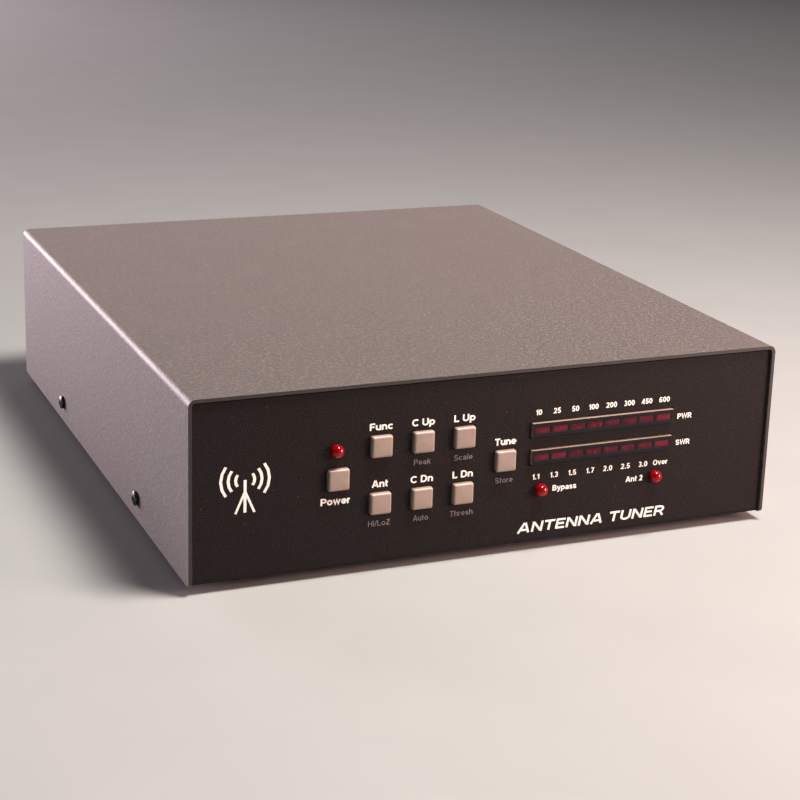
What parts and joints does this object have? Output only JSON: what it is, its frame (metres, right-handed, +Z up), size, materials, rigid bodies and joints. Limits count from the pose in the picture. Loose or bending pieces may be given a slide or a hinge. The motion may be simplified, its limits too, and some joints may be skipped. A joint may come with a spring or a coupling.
{
  "type": "antenna tuner",
  "caption": "Desktop radio antenna tuner: flat folded-metal case with push keys, lamps and two bar meters in front, and coaxial sockets behind.",
  "frame": {"origin": "on the surface that the feet stand on, at the centre of the whole footprint", "axes": "+X to the right as seen from the front, +Y towards the rear panel, +Z up"},
  "size_m": [0.2478, 0.3032, 0.0751],
  "materials": {
    "cover_paint": "fine-textured black powder coat, satin",
    "chassis_paint": "fine-textured black powder coat, satin",
    "black_screws": "black-plated steel, worn at the recess",
    "zinc_steel": "bright zinc plate",
    "foot_rubber": "matte moulded rubber",
    "key_plastic": "moulded grey plastic, slightly rough",
    "lamp_lens": "clear red lens, polished",
    "bar_housing": "black face with light edges",
    "bar_segments": "diffused red windows, unlit",
    "black_plastic": "moulded black plastic",
    "circuit_board": "solder mask over glass fibre",
    "nickel": "nickel plate, satin",
    "white_insulator": "natural white fluoroplastic",
    "contact_metal": "plated spring brass",
    "ground_brass": "turned brass",
    "iron_powder": "painted iron powder core",
    "copper_wire": "enamelled copper",
    "relay_case": "moulded blue case",
    "capacitor_coat": "dipped blue coating",
    "black_aluminium": "black anodised",
    "capacitor_sleeve": "shrink sleeve",
    "ferrite": "sintered ferrite",
    "ribbon_grey": "ribbed vinyl",
    "lead_sleeve": "vinyl sleeve"
  },
  "bodies": {
    "case": {"chassis": "chassis_paint", "cover": "cover_paint", "cover_screws": "black_screws", "cover_nuts": "zinc_steel", "feet": "foot_rubber", "switches": "black_plastic", "display_board": "circuit_board", "display_standoffs": "zinc_steel", "display_screws": "zinc_steel", "led_power": "lamp_lens", "led_bypass": "lamp_lens", "led_antenna_2": "lamp_lens", "led_spacers": "black_plastic", "power_bar_holder": "bar_housing", "power_bar_leds": "bar_segments", "swr_bar_holder": "bar_housing", "swr_bar_leds": "bar_segments", "main_board": "circuit_board", "board_standoffs": "nickel", "board_screws": "zinc_steel", "bottom_screws": "black_screws", "socket_shell_transmitter": "nickel", "socket_shell_antenna_1": "nickel", "socket_shell_antenna_2": "nickel", "socket_insulators": "white_insulator", "socket_contacts": "contact_metal", "socket_screws": "zinc_steel", "socket_nuts": "zinc_steel", "dc_jack": "black_plastic", "dc_jack_pin": "nickel", "radio_jack": "black_plastic", "meter_jack": "black_plastic", "jack_nuts": "nickel", "ground_stud": "ground_brass", "ground_nuts": "ground_brass", "inductor_cores": "iron_powder", "inductor_windings": "copper_wire", "bank_relays": "relay_case", "antenna_relays": "black_plastic", "high_voltage_capacitors": "capacitor_coat", "control_chips": "black_plastic", "regulator": "black_plastic", "heat_sink": "black_aluminium", "filter_capacitors": "capacitor_sleeve", "coupler_cores": "ferrite", "coupler_line": "white_insulator", "ribbon_cable": "ribbon_grey", "ribbon_connectors": "black_plastic", "rf_wires": "copper_wire", "power_leads": "lead_sleeve"},
    "key_power": {"button_power": "key_plastic"},
    "key_function": {"button_function": "key_plastic"},
    "key_antenna": {"button_antenna": "key_plastic"},
    "key_c_up": {"button_c_up": "key_plastic"},
    "key_c_down": {"button_c_down": "key_plastic"},
    "key_l_up": {"button_l_up": "key_plastic"},
    "key_l_down": {"button_l_down": "key_plastic"},
    "key_tune": {"button_tune": "key_plastic"},
    "washer": {"ground_washer": "ground_brass"},
    "wing_nut": {"ground_wing_nut": "ground_brass"}
  },
  "joints": [
    {"name": "press_power", "type": "slide", "parent": "case", "child": "key_power", "axis": [0, 1, 0], "range_m": [0, 0.0004], "stiffness_N_per_m": 1500, "springref_m": -0.0006},
    {"name": "press_function", "type": "slide", "parent": "case", "child": "key_function", "axis": [0, 1, 0], "range_m": [0, 0.0004], "stiffness_N_per_m": 1500, "springref_m": -0.0006},
    {"name": "press_antenna", "type": "slide", "parent": "case", "child": "key_antenna", "axis": [0, 1, 0], "range_m": [0, 0.0004], "stiffness_N_per_m": 1500, "springref_m": -0.0006},
    {"name": "press_c_up", "type": "slide", "parent": "case", "child": "key_c_up", "axis": [0, 1, 0], "range_m": [0, 0.0004], "stiffness_N_per_m": 1500, "springref_m": -0.0006},
    {"name": "press_c_down", "type": "slide", "parent": "case", "child": "key_c_down", "axis": [0, 1, 0], "range_m": [0, 0.0004], "stiffness_N_per_m": 1500, "springref_m": -0.0006},
    {"name": "press_l_up", "type": "slide", "parent": "case", "child": "key_l_up", "axis": [0, 1, 0], "range_m": [0, 0.0004], "stiffness_N_per_m": 1500, "springref_m": -0.0006},
    {"name": "press_l_down", "type": "slide", "parent": "case", "child": "key_l_down", "axis": [0, 1, 0], "range_m": [0, 0.0004], "stiffness_N_per_m": 1500, "springref_m": -0.0006},
    {"name": "press_tune", "type": "slide", "parent": "case", "child": "key_tune", "axis": [0, 1, 0], "range_m": [0, 0.0004], "stiffness_N_per_m": 1500, "springref_m": -0.0006},
    {"name": "washer_slide", "type": "slide", "parent": "case", "child": "washer", "axis": [0, 1, 0], "range_m": [0, 0.0041]},
    {"name": "wing_nut_turn", "type": "hinge", "parent": "washer", "child": "wing_nut", "pos_m": [0.036, 0.13965, 0.0256], "axis": [0, 1, 0], "range_deg": [0, 1800]}
  ],
  "couplings": [
    {"joint": "washer_slide", "follows": "wing_nut_turn", "m_per_rad": 0.00012732}
  ]
}
